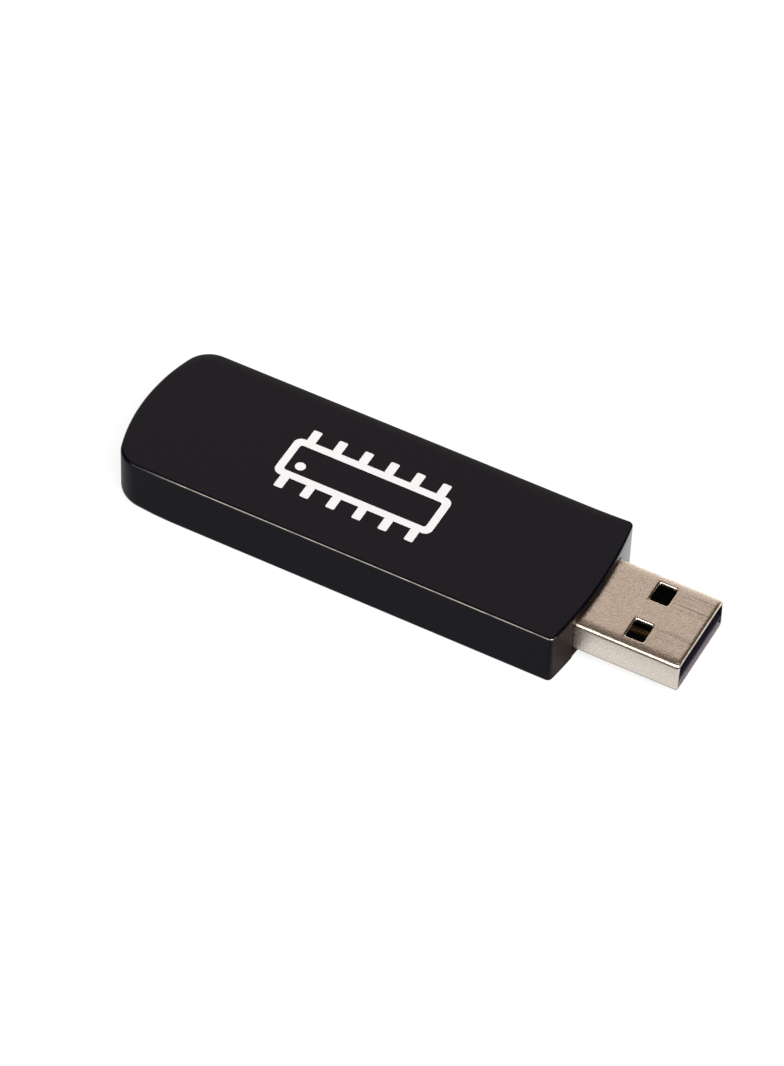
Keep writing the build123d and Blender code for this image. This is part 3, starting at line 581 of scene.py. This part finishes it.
# ------------------------------------------------------------------ materials
class Graph:
    """A material's node tree, with short calls for the nodes used here."""

    def __init__(self, name, **sockets):
        self.material = bpy.data.materials.new(name)
        self.material.use_nodes = True
        self.tree = self.material.node_tree
        self.shader = self.tree.nodes["Principled BSDF"]
        for key, value in sockets.items():
            self.shader.inputs[key.replace("_", " ")].default_value = value
        self.place = self.tree.nodes.new("ShaderNodeTexCoord").outputs["Object"]

    def link(self, out, socket):
        self.tree.links.new(out, socket)

    def set(self, name, out):
        self.link(out, self.shader.inputs[name])

    def stretched(self, x=1.0, y=1.0, z=1.0):
        node = self.tree.nodes.new("ShaderNodeMapping")
        node.inputs["Scale"].default_value = (x, y, z)
        self.link(self.place, node.inputs["Vector"])
        return node.outputs["Vector"]

    def noise(self, size_mm, detail=3.0, rough=0.5, vector=None):
        node = self.tree.nodes.new("ShaderNodeTexNoise")
        node.inputs["Scale"].default_value = 1 / (size_mm * MM)
        node.inputs["Detail"].default_value = detail
        node.inputs["Roughness"].default_value = rough
        self.link(vector or self.place, node.inputs["Vector"])
        return node.outputs["Fac"]

    def cells(self, size_mm, feature="F1"):
        node = self.tree.nodes.new("ShaderNodeTexVoronoi")
        node.feature = feature
        node.inputs["Scale"].default_value = 1 / (size_mm * MM)
        self.link(self.place, node.inputs["Vector"])
        return node.outputs["Distance"]

    def span(self, out, low, high, to_low=0.0, to_high=1.0, smooth_step=False):
        node = self.tree.nodes.new("ShaderNodeMapRange")
        node.interpolation_type = "SMOOTHSTEP" if smooth_step else "LINEAR"
        for key, value in zip(("From Min", "From Max", "To Min", "To Max"), (low, high, to_low, to_high)):
            node.inputs[key].default_value = value
        self.link(out, node.inputs["Value"])
        return node.outputs["Result"]

    def math(self, operation, a, b=0.0):
        node = self.tree.nodes.new("ShaderNodeMath")
        node.operation = operation
        for socket, value in zip(node.inputs, (a, b)):
            if isinstance(value, (int, float)):
                socket.default_value = value
            else:
                self.link(value, socket)
        return node.outputs["Value"]

    def times(self, first, *others):
        for other in others:
            first = self.math("MULTIPLY", first, other)
        return first

    def ramp(self, out, stops):
        node = self.tree.nodes.new("ShaderNodeValToRGB")
        ramp = node.color_ramp
        while len(ramp.elements) < len(stops):
            ramp.elements.new(0.5)
        for element, (place, colour) in zip(ramp.elements, stops):
            element.position = place
            element.color = (*colour, 1.0)
        self.link(out, node.inputs["Fac"])
        return node.outputs["Color"]

    def mix(self, factor, a, b, blend="MIX"):
        node = self.tree.nodes.new("ShaderNodeMix")
        node.data_type, node.blend_type = "RGBA", blend
        if isinstance(factor, (int, float)):
            node.inputs["Factor"].default_value = factor
        else:
            self.link(factor, node.inputs["Factor"])
        for key, value in (("A", a), ("B", b)):
            socket = [i for i in node.inputs if i.name == key and i.type == "RGBA"][0]
            if isinstance(value, tuple):
                socket.default_value = (*value, 1.0)
            else:
                self.link(value, socket)
        return [o for o in node.outputs if o.type == "RGBA"][0]

    def bump(self, height, depth_mm, strength=1.0, after=None):
        node = self.tree.nodes.new("ShaderNodeBump")
        node.inputs["Distance"].default_value = depth_mm * MM
        node.inputs["Strength"].default_value = strength
        self.link(height, node.inputs["Height"])
        if after is not None:
            self.link(after, node.inputs["Normal"])
        return node.outputs["Normal"]

    def band(self, out, low, high, soft):
        """1 between low and high, falling to 0 over twice soft at either end."""
        rise = self.span(out, low - soft, low + soft, smooth_step=True)
        fall = self.span(out, high + soft, high - soft, smooth_step=True)
        return self.math("MULTIPLY", rise, fall)

    def beyond(self, out, centre_mm, half_mm):
        """How far out lies beyond half_mm to either side of a centre, negative between the two."""
        away = self.math("ABSOLUTE", self.math("SUBTRACT", out, centre_mm * MM))
        return self.math("SUBTRACT", away, half_mm * MM)

    def axis(self, which):
        node = self.tree.nodes.new("ShaderNodeSeparateXYZ")
        self.link(self.place, node.inputs["Vector"])
        return node.outputs[which]


def gloss_black():
    """Polished black moulding: faint flow in the gloss; the front wall's near part duller and painted brown
    as a reflection of the plug's side and its shaded floor; and a painted highlight along the near top edge,
    a metallic band where the front light reflects.
    """
    g = Graph("gloss_black", IOR=1.33)
    x, y, z = g.axis("X"), g.axis("Y"), g.axis("Z")
    smudge = g.noise(9.0, 4.0, 0.55)
    fine = g.noise(0.35, 2.0)
    rough = g.math("ADD", g.span(smudge, 0.35, 0.68, 0.07, 0.13), g.span(fine, 0.3, 0.7, -0.012, 0.012))
    ahead = g.math("SUBTRACT", x, (FRONT_X - FRONT_ARC_R) * MM)
    squares = g.math("ADD", g.math("POWER", ahead, 2.0), g.math("POWER", y, 2.0))
    on_front = g.span(g.math("POWER", squares, 0.5), (FRONT_ARC_R - 0.2) * MM, (FRONT_ARC_R - 0.05) * MM)
    dull_with_painted_reflection = g.times(on_front, g.span(y, -4.0 * MM, -5.8 * MM))
    g.set("Roughness", g.math("ADD", rough, g.times(dull_with_painted_reflection, 0.4)))
    black = g.ramp(smudge, [(0.3, (0.0003, 0.0003, 0.0034)), (0.7, (0.0005, 0.0005, 0.0042))])
    black = g.mix(g.span(g.noise(0.22, 2.0, 0.6), 0.36, 0.64), black, (0.0020, 0.0018, 0.0064))
    # painted reflection: the front wall's near part is made duller and painted brown in place of the
    # reflected plug side and its shaded floor
    brown_mottle = g.noise(0.3, 3.0, 0.65)
    painted_brown_reflection = g.ramp(brown_mottle, [(0.36, (0.0055, 0.0008, 0.0002)), (0.64, (0.0185, 0.0040, 0.0012))])
    black = g.mix(dull_with_painted_reflection, black, painted_brown_reflection)
    # painted highlight: a metallic beige band on the near top edge, only where the front light reflects,
    # fading towards the rear and uneven along its length
    edge = g.band(z, (TOP_Z - 0.18) * MM, (TOP_Z - 0.09) * MM, 0.02 * MM)
    near = g.span(y, -9.6 * MM, -10.0 * MM)
    painted_highlight_band = g.times(edge, near, g.span(x, -33.0 * MM, -24.0 * MM, smooth_step=True))
    highlight_unevenness = g.span(g.noise(0.5, 3.0, 0.6, g.stretched(0.25, 1.0, 1.0)), 0.36, 0.62, 0.35, 1.0)
    g.set("Metallic", painted_highlight_band)
    painted_highlight_colour = g.mix(highlight_unevenness, (0.085, 0.076, 0.066), (0.34, 0.305, 0.26))
    g.set("Base Color", g.mix(painted_highlight_band, black, painted_highlight_colour))
    swell = g.bump(g.noise(3.2, 1.0), 0.004, 0.5)
    rub = g.bump(g.noise(0.12, 2.0, 0.6, g.stretched(0.06, 1.0, 1.0)), 0.0006, 0.25, swell)
    g.set("Normal", rub)
    return g.material


def satin_black(name="satin_black", tone=0.012, rough=0.42, grain_mm=0.09):
    """Black moulding with the fine grain of a sparked mould."""
    g = Graph(name, IOR=1.45)
    grain = g.noise(grain_mm, 2.0, 0.6)
    broad = g.noise(2.4, 3.0)
    light = (tone * 1.2, tone * 1.15, tone * 1.15)
    g.set("Base Color", g.ramp(broad, [(0.3, (tone * 0.85,) * 3), (0.7, light)]))
    g.set("Roughness", g.span(broad, 0.3, 0.7, rough - 0.05, rough + 0.06))
    g.set("Normal", g.bump(grain, 0.006, 0.45))
    return g.material


def white_ink():
    """Screen-printed white: opaque, faintly uneven."""
    g = Graph("white_ink", IOR=1.45)
    cloud = g.noise(1.6, 3.0)
    g.set("Base Color", g.ramp(cloud, [(0.3, (0.90, 0.92, 0.94)), (0.7, (0.94, 0.96, 0.98))]))
    g.set("Roughness", g.span(cloud, 0.3, 0.7, 0.38, 0.5))
    g.set("Normal", g.bump(g.noise(0.16, 2.0), 0.002, 0.3))
    return g.material


def nickel():
    """Warm nickel plate: fine mottle, hairlines drawn along the plug, scuffed streaks ahead of the windows;
    painted shade and painted dark lines round the windows, a painted dark line on the folds and painted light
    on the side walls.
    """
    g = Graph("nickel", Metallic=1.0)
    x, y, z = g.axis("X"), g.axis("Y"), g.axis("Z")
    side = g.math("ABSOLUTE", y)
    mottle = g.noise(0.24, 3.0, 0.62)
    cloud = g.noise(2.2, 3.0, 0.55)
    hair = g.noise(0.09, 3.0, 0.6, g.stretched(0.045, 1.0, 1.0))
    streak = g.span(g.noise(0.16, 2.0, 0.5, g.stretched(0.03, 1.0, 0.2)), 0.5, 0.66)
    window_front, window_rear = TIP_X - WINDOW_BACK, WINDOW_X - WINDOW_SIZE[0] / 2
    ahead = g.span(x, (window_front - 0.6) * MM, (window_front + 0.7) * MM)
    streaks = g.times(streak, ahead, g.band(side, 1.8 * MM, 4.6 * MM, 0.35 * MM))
    # painted dark reflection: a dark brown line along the fold's lower part, just below its highlight
    painted_fold_dark_line = g.band(z, 5.78 * MM, 5.93 * MM, 0.04 * MM)
    along = g.beyond(x, WINDOW_X, WINDOW_SIZE[0] / 2)
    outside = g.math("MAXIMUM", along, g.beyond(side, WINDOW_Y, WINDOW_SIZE[1] / 2))
    rim = g.span(outside, 0.16 * MM, 0.08 * MM, smooth_step=True)
    # painted shade: brown on each window's rear (-X) rim
    behind = g.span(x, (window_rear + 0.1) * MM, (window_rear - 0.05) * MM)
    shaded = g.times(behind, g.span(outside, 0.42 * MM, 0.05 * MM))
    lines = []  # painted dark reflection: brown lines just beyond the windows' +Y edges
    for window_y in (-WINDOW_Y, WINDOW_Y):
        edge_y = window_y + WINDOW_SIZE[1] / 2
        lines.append(g.band(y, (edge_y + 0.13) * MM, (edge_y + 0.25) * MM, 0.04 * MM))
    painted_dark_rim_lines = g.times(g.math("ADD", *lines), g.span(along, 0.1 * MM, -0.1 * MM))
    base = g.ramp(cloud, [(0.28, (0.93, 0.825, 0.715)), (0.72, (0.99, 0.885, 0.78))])
    base = g.mix(g.span(mottle, 0.38, 0.62, 0.0, 0.6), base, (0.70, 0.595, 0.49))
    # painted light: the plug's side walls lighter and cooler, in place of the bright floor they reflect
    base = g.mix(g.span(side, 5.93 * MM, 5.99 * MM), base, (1.03, 1.07, 1.13), "MULTIPLY")
    base = g.mix(g.times(streaks, 0.85), base, (0.30, 0.235, 0.19))
    base = g.mix(g.times(painted_fold_dark_line, 0.9), base, (0.15, 0.09, 0.05))
    base = g.mix(shaded, base, (0.30, 0.21, 0.14))
    base = g.mix(painted_dark_rim_lines, base, (0.28, 0.17, 0.10))
    base = g.mix(g.times(g.span(g.cells(0.75), 0.055, 0.035), 0.6), base, (0.16, 0.12, 0.09))  # specks
    base = g.mix(g.times(rim, g.math("SUBTRACT", 1.0, behind)), base, (0.98, 0.95, 0.91))
    g.set("Base Color", base)
    rough = g.math("ADD", g.span(mottle, 0.3, 0.7, 0.17, 0.28), g.span(hair, 0.35, 0.65, -0.03, 0.04))
    g.set("Roughness", g.math("SUBTRACT", rough, g.times(rim, 0.05)))
    skin = g.bump(mottle, 0.036, 0.95)
    drawn = g.bump(hair, 0.0025, 0.5, skin)
    g.set("Normal", g.bump(streaks, 0.004, 0.4, drawn))
    return g.material


def bright_metal(name, light, dark, rough=0.24, grain=(0.08, 1.0, 1.0)):
    """Plated metal with a drawn grain and soft clouding."""
    g = Graph(name, Metallic=1.0)
    cloud = g.noise(0.9, 3.0)
    hair = g.noise(0.07, 2.0, 0.6, g.stretched(*grain))
    g.set("Base Color", g.ramp(cloud, [(0.3, dark), (0.7, light)]))
    g.set("Roughness", g.span(hair, 0.3, 0.7, rough - 0.06, rough + 0.08))
    g.set("Normal", g.bump(hair, 0.0015, 0.4))
    return g.material


def sleeve_inside():
    """The sleeve's inner faces: painted dark as shade inside the sleeve, and pale, rough and non-metal at the
    lip as painted light.
    """
    g = Graph("sleeve_inside")
    cloud = g.noise(0.6, 3.0)
    front = g.span(g.axis("X"), (TIP_X - 1.1) * MM, (TIP_X - 0.7) * MM, smooth_step=True)
    painted_light_lip = g.times(front, g.span(g.axis("Z"), 2.4 * MM, 2.3 * MM))
    # painted shade over the inside; painted light on the lip
    painted_inner_shade = g.ramp(cloud, [(0.3, (0.030, 0.024, 0.020)), (0.7, (0.060, 0.048, 0.040))])
    g.set("Base Color", g.mix(painted_light_lip, painted_inner_shade, (0.27, 0.235, 0.27)))
    g.set("Metallic", g.math("SUBTRACT", 1.0, painted_light_lip))
    g.set("Roughness", g.span(cloud, 0.3, 0.7, 0.45, 0.55))
    g.set("Normal", g.bump(g.noise(0.1, 2.0), 0.002, 0.3))
    return g.material


def gilt_with_painted_shade():
    """Contact gilding: bright gold lines along the contact between dark brown ones, gold only beyond y -0.95
    mm and painted dark as shade elsewhere.
    """
    g = Graph("gilt_with_painted_shade", Metallic=1.0)
    lines = g.noise(0.2, 2.0, 0.5, g.stretched(0.02, 1.0, 1.0))
    # painted shade: the contact is near-black except its -Y part
    gold_where_unshaded = g.span(g.axis("Y"), -0.72 * MM, -0.95 * MM)
    gold = g.ramp(lines, [(0.44, (0.20, 0.09, 0.03)), (0.52, (1.0, 0.62, 0.26))])
    g.set("Base Color", g.mix(gold_where_unshaded, (0.03, 0.016, 0.008), gold))
    g.set("Roughness", g.span(lines, 0.3, 0.7, 0.34, 0.5))
    g.set("Normal", g.bump(lines, 0.004, 0.5))
    return g.material


def solder_metal():
    """Soldered tin: grey, softly frosted."""
    g = Graph("solder", Metallic=1.0)
    frost = g.cells(0.12)
    g.set("Base Color", g.ramp(frost, [(0.1, (0.72, 0.72, 0.71)), (0.8, (0.58, 0.58, 0.57))]))
    g.set("Roughness", g.span(frost, 0.0, 0.8, 0.22, 0.42))
    g.set("Normal", g.bump(frost, 0.004, 0.35))
    return g.material


def laminate():
    """Board: green resist over copper runs, with the glass weave faintly showing."""
    g = Graph("laminate", IOR=1.5)
    weave_turn = 2 * math.pi / (0.5 * MM)
    weave = g.times(*(g.math("SINE", g.times(g.axis(which), weave_turn)) for which in "XY"))
    copper = g.span(g.cells(1.6, "DISTANCE_TO_EDGE"), 0.05, 0.09)
    green = g.mix(copper, (0.008, 0.07, 0.028), (0.018, 0.15, 0.06))
    g.set("Base Color", g.mix(g.span(weave, -1, 1, 0, 0.25), green, (0.03, 0.2, 0.09)))
    g.set("Roughness", g.span(weave, -1, 1, 0.24, 0.34))
    g.set("Normal", g.bump(copper, 0.02, 0.5))
    return g.material


def resin(name, light, dark, rough=0.45):
    """Coloured moulded or dipped resin."""
    g = Graph(name, IOR=1.5)
    cloud = g.noise(0.5, 3.0)
    g.set("Base Color", g.ramp(cloud, [(0.3, dark), (0.7, light)]))
    g.set("Roughness", g.span(cloud, 0.3, 0.7, rough - 0.06, rough + 0.08))
    g.set("Normal", g.bump(g.noise(0.07, 2.0), 0.003, 0.3))
    return g.material


def tongue_plastic():
    """The plug's insulator: black, lightened to navy toward its nose as painted light where the mouth lets
    light in.
    """
    g = Graph("tongue_plastic", IOR=1.3)
    cloud = g.noise(0.5, 3.0)
    # painted light: lighter navy toward the nose
    nose_painted_light = g.span(g.axis("X"), (TIP_X - 2.6) * MM, (TIP_X - 0.8) * MM)
    base = g.ramp(cloud, [(0.3, (0.0010, 0.0009, 0.0014)), (0.7, (0.0020, 0.0018, 0.0028))])
    g.set("Base Color", g.mix(nose_painted_light, base, (0.015, 0.012, 0.024)))
    g.set("Roughness", g.span(cloud, 0.3, 0.7, 0.4, 0.5))
    g.set("Normal", g.bump(g.noise(0.07, 2.0), 0.003, 0.3))
    return g.material


def clear_moulding():
    """Light-pipe plastic: clear, a little milky, with a soft outer face."""
    g = Graph("clear_moulding", IOR=1.49, Transmission_Weight=0.85)
    cloud = g.noise(0.7, 2.0)
    g.set("Base Color", g.ramp(cloud, [(0.3, (0.80, 0.84, 0.84)), (0.7, (0.92, 0.94, 0.94))]))
    g.set("Roughness", g.span(cloud, 0.3, 0.7, 0.22, 0.34))
    g.set("Normal", g.bump(g.noise(0.12, 2.0), 0.002, 0.3))
    return g.material


def paint(obj, *materials):
    """The object's materials, in the order of its faces' material numbers."""
    numbers = [polygon.material_index for polygon in obj.data.polygons] if len(materials) > 1 else None
    obj.data.materials.clear()
    for material in materials:
        obj.data.materials.append(material)
    if numbers:
        obj.data.polygons.foreach_set("material_index", numbers)
    return obj


GLOSS = gloss_black()
SATIN = satin_black()
NICKEL = nickel()
INSIDE = sleeve_inside()
GOLD = bright_metal("gold_plate", (0.95, 0.68, 0.28), (0.84, 0.55, 0.19))
GILT = gilt_with_painted_shade()
# power contacts painted near-black as shade, for the dark seen in the far window
CONTACT_PAINTED_DARK = bright_metal("contact_painted_dark", (0.05, 0.032, 0.018), (0.02, 0.013, 0.008), 0.5)
TIN = bright_metal("tin_plate", (0.80, 0.79, 0.77), (0.68, 0.67, 0.65), 0.3)
SOLDER = solder_metal()
EPOXY = satin_black("chip_epoxy", 0.022, 0.6, 0.06)
CLEAR = clear_moulding()
CERAMIC = resin("fired_ceramic", (0.52, 0.40, 0.28), (0.40, 0.29, 0.19), 0.5)
TONGUE = tongue_plastic()

NODE_LOOKS = {
    "base_cover": GLOSS,
    "switch_cap": SATIN,
    "light_pipes": CLEAR,
    "status_light_lenses": CLEAR,
    "status_lights": resin("white_moulding", (0.84, 0.84, 0.81), (0.74, 0.74, 0.70)),
    "plug_tongue": TONGUE,
    "circuit_board": laminate(),
    "target_socket_housing": SATIN,
    "switch_base": SATIN,
    "switch_actuator": SATIN,
    "switch_frame": TIN,
    "switch_terminals": TIN,
    "switch_wiper": GOLD,
    "crystal_lid": TIN,
    "crystal_base": CERAMIC,
    "ceramic_capacitors": CERAMIC,
    "resettable_fuse": resin("fuse_resin", (0.05, 0.22, 0.11), (0.03, 0.14, 0.07)),
    "tantalum_capacitors": resin("tantalum_resin", (0.80, 0.52, 0.08), (0.66, 0.40, 0.05)),
    "target_socket_contacts": GOLD,
    "plug_solder": SOLDER,
    "target_socket_solder": SOLDER,
}
for name, node in NODES.items():
    if name.startswith("plug_contact"):
        look = GILT if "_d_" in name else CONTACT_PAINTED_DARK
    elif name.endswith(("_leads", "_ends", "_straps")):
        look = TIN
    else:
        look = NODE_LOOKS.get(name, EPOXY)
    paint(node, look)


def ease_edges(node, width_mm):
    """Tidy flats, small rounded edges and even shading on a CAD node, by modifiers only."""
    flat = node.modifiers.new("flats", "DECIMATE")
    flat.decimate_type, flat.angle_limit = "DISSOLVE", math.radians(1.0)
    round_edges(node, width_mm, 40)
    weigh_normals(node)


EASED = {
    "base_cover": 0.06,
    "switch_cap": 0.04,
    "plug_tongue": 0.04,
    "target_socket_housing": 0.04,
    "microcontroller": 0.03,
    "voltage_regulator": 0.04,
    "memory_chip": 0.03,
    "level_shifter": 0.03,
    "tantalum_capacitors": 0.05,
    "circuit_board": 0.03,
    "ceramic_capacitors": 0.03,
    "resettable_fuse": 0.04,
}
for name, node in NODES.items():
    node.data.polygons.foreach_set("use_smooth", [True] * len(node.data.polygons))
    if name in EASED:
        ease_edges(node, EASED[name])
    elif name.startswith("plug_contact"):
        ease_edges(node, 0.03)

paint(casing_top(), GLOSS)
paint(plug_sleeve(), NICKEL, INSIDE)
paint(chip_mark(), white_ink())


# ------------------------------------------------------------------ camera
def look_from(azimuth, elevation, roll):
    """The camera's rotation, and the direction from what it looks at back to it."""
    a, e, r = (math.radians(v) for v in (azimuth, elevation, roll))
    back = Vector((math.sin(a) * math.cos(e), -math.cos(a) * math.cos(e), math.sin(e)))
    right = (-back).cross(Vector((0, 0, 1))).normalized()
    up = right.cross(-back)
    turned = (right * math.cos(r) + up * math.sin(r), up * math.cos(r) - right * math.sin(r), back)
    return Matrix(turned).transposed(), back


VIEW_AZIMUTH, VIEW_ELEVATION, VIEW_ROLL = 26.38, 47.85, 2.37
VIEW_TARGET, VIEW_DISTANCE = (-2.47, -1.87, 3.75), 610.7
LENS, SENSOR_WIDTH = 174.8, 36.0


def make_camera():
    rotation, back = look_from(VIEW_AZIMUTH, VIEW_ELEVATION, VIEW_ROLL)
    data = bpy.data.cameras.new("camera")
    data.lens, data.sensor_width = LENS, SENSOR_WIDTH
    data.clip_start, data.clip_end = 0.02, 20.0
    camera = bpy.data.objects.new("camera", data)
    place = (Vector(VIEW_TARGET) + back * VIEW_DISTANCE) * MM
    camera.matrix_world = Matrix.Translation(place) @ rotation.to_4x4()
    bpy.context.scene.collection.objects.link(camera)
    bpy.context.scene.camera = camera


# ------------------------------------------------------------------ studio
FLOOR_DROP = 0.02  # just under the object, so that neither surface flickers through the other
FLOOR_REACH = 4.0  # metres
FLOOR_SEEN = 0.80  # the paper's own glow, as the camera sees it
FLOOR_DIM, FLOOR_LIT, FLOOR_CORNER = 0.06, 0.44, 0.36  # as reflections see it: painted shade, painted light, and a painted pool of light beyond the far front corner, which adds to lit


class Sky(Graph):
    """The studio's light as a function of direction."""

    def __init__(self, name):
        world = bpy.data.worlds.new(name)
        bpy.context.scene.world = world
        world.use_nodes = True
        self.tree = world.node_tree
        self.place = self.tree.nodes.new("ShaderNodeTexCoord").outputs["Generated"]

    def finish(self, colour):
        self.link(colour, self.tree.nodes["Background"].inputs["Color"])


def make_floor():
    """Pale paper, evenly bright to the camera; reflections see it dimmer under and beside the casing as
    painted shadow, with painted pools of light beside the plug and beyond the far front corner.
    """
    z = -FLOOR_DROP * MM
    corners = [(u * FLOOR_REACH, v * FLOOR_REACH, z) for u, v in ((-1, -1), (1, -1), (1, 1), (-1, 1))]
    mesh = bpy.data.meshes.new("floor")
    mesh.from_pydata(corners, [], [(0, 1, 2, 3)])
    floor = new_object("floor", mesh)
    g = Graph("pale_paper", IOR=1.2, Emission_Color=(1, 1, 1, 1))
    g.set("Base Color", g.ramp(g.noise(40.0, 3.0), [(0.3, (0.27, 0.27, 0.27)), (0.7, (0.29, 0.29, 0.29))]))
    g.set("Roughness", g.span(g.noise(1.0, 3.0), 0.3, 0.7, 0.85, 0.95))
    x, y = g.axis("X"), g.axis("Y")
    shade = g.times(g.band(x, -46 * MM, 37.5 * MM, 1.5 * MM), g.band(y, -20 * MM, 10 * MM, 1.5 * MM))
    # painted light beside the plug and beyond the far front corner, as reflections see the paper
    beside_plug = g.times(g.span(x, 23.4 * MM, 24.4 * MM), g.band(y, -11.2 * MM, -7.2 * MM, 0.4 * MM))
    painted_corner_light = g.times(g.span(x, 14 * MM, 22 * MM), g.span(y, 9 * MM, 11.5 * MM), FLOOR_CORNER)
    lit = g.math("MAXIMUM", g.math("SUBTRACT", 1.0, shade), beside_plug)
    glow = g.math("ADD", g.span(lit, 0.0, 1.0, FLOOR_DIM, FLOOR_LIT), painted_corner_light)
    seen = g.tree.nodes.new("ShaderNodeLightPath").outputs["Is Camera Ray"]
    mirrored = g.times(glow, g.math("SUBTRACT", 1.0, seen))
    g.set("Emission Strength", g.math("MAXIMUM", mirrored, g.times(seen, FLOOR_SEEN)))
    paint(floor, g.material)


# Each light is (rise, rise softness, x, x softness, strength), by direction: rise is in degrees, 0 at the
# -Y horizon, 90 overhead and 180 at the +Y horizon.
KEYS = (
    ((25.0, 68.0), 4.0, (-0.6, 0.05), 0.12, 2.4),
    ((46.0, 78.0), 5.0, (0.24, 0.78), 0.12, 9.0),
)
FIELD = ((114.0, 158.0), 12.0, (-0.75, -0.08), 0.14)
LOW_BACK = ((162.0, 190.0), 12.0, (-0.85, 0.35), 0.15)
KEY_COLOUR, FIELD_COLOUR, LOW_BACK_COLOUR = (1.0, 0.99, 0.97), (0.56, 0.50, 0.47), (1.2, 1.17, 1.12)
ROOM_COLOUR = (0.082, 0.063, 0.048)


def make_sky():
    """Two soft boxes over the -Y side, a warm field behind overhead, a low light at the back, a dim room."""
    g = Sky("studio")
    x, y, z = g.axis("X"), g.axis("Y"), g.axis("Z")
    rise = g.times(g.math("ARCTAN2", z, g.times(y, -1.0)), 180 / math.pi)

    def window(rises, rise_soft, xs, x_soft, *strength):
        return g.times(g.band(rise, *rises, rise_soft), g.band(x, *xs, x_soft), *strength)

    key = g.math("ADD", *(window(*light) for light in KEYS))
    low_back = g.times(window(*LOW_BACK), g.span(rise, 164.0, 184.0, 1.0, 2.2))
    colour = g.mix(1.0, ROOM_COLOUR, g.mix(1.0, KEY_COLOUR, key, "MULTIPLY"), "ADD")
    colour = g.mix(window(*FIELD), colour, FIELD_COLOUR, "ADD")
    g.finish(g.mix(low_back, colour, LOW_BACK_COLOUR, "ADD"))


make_camera()
make_floor()
make_sky()
scene = bpy.context.scene
scene.view_settings.view_transform = "Standard"
scene.view_settings.look = "None"
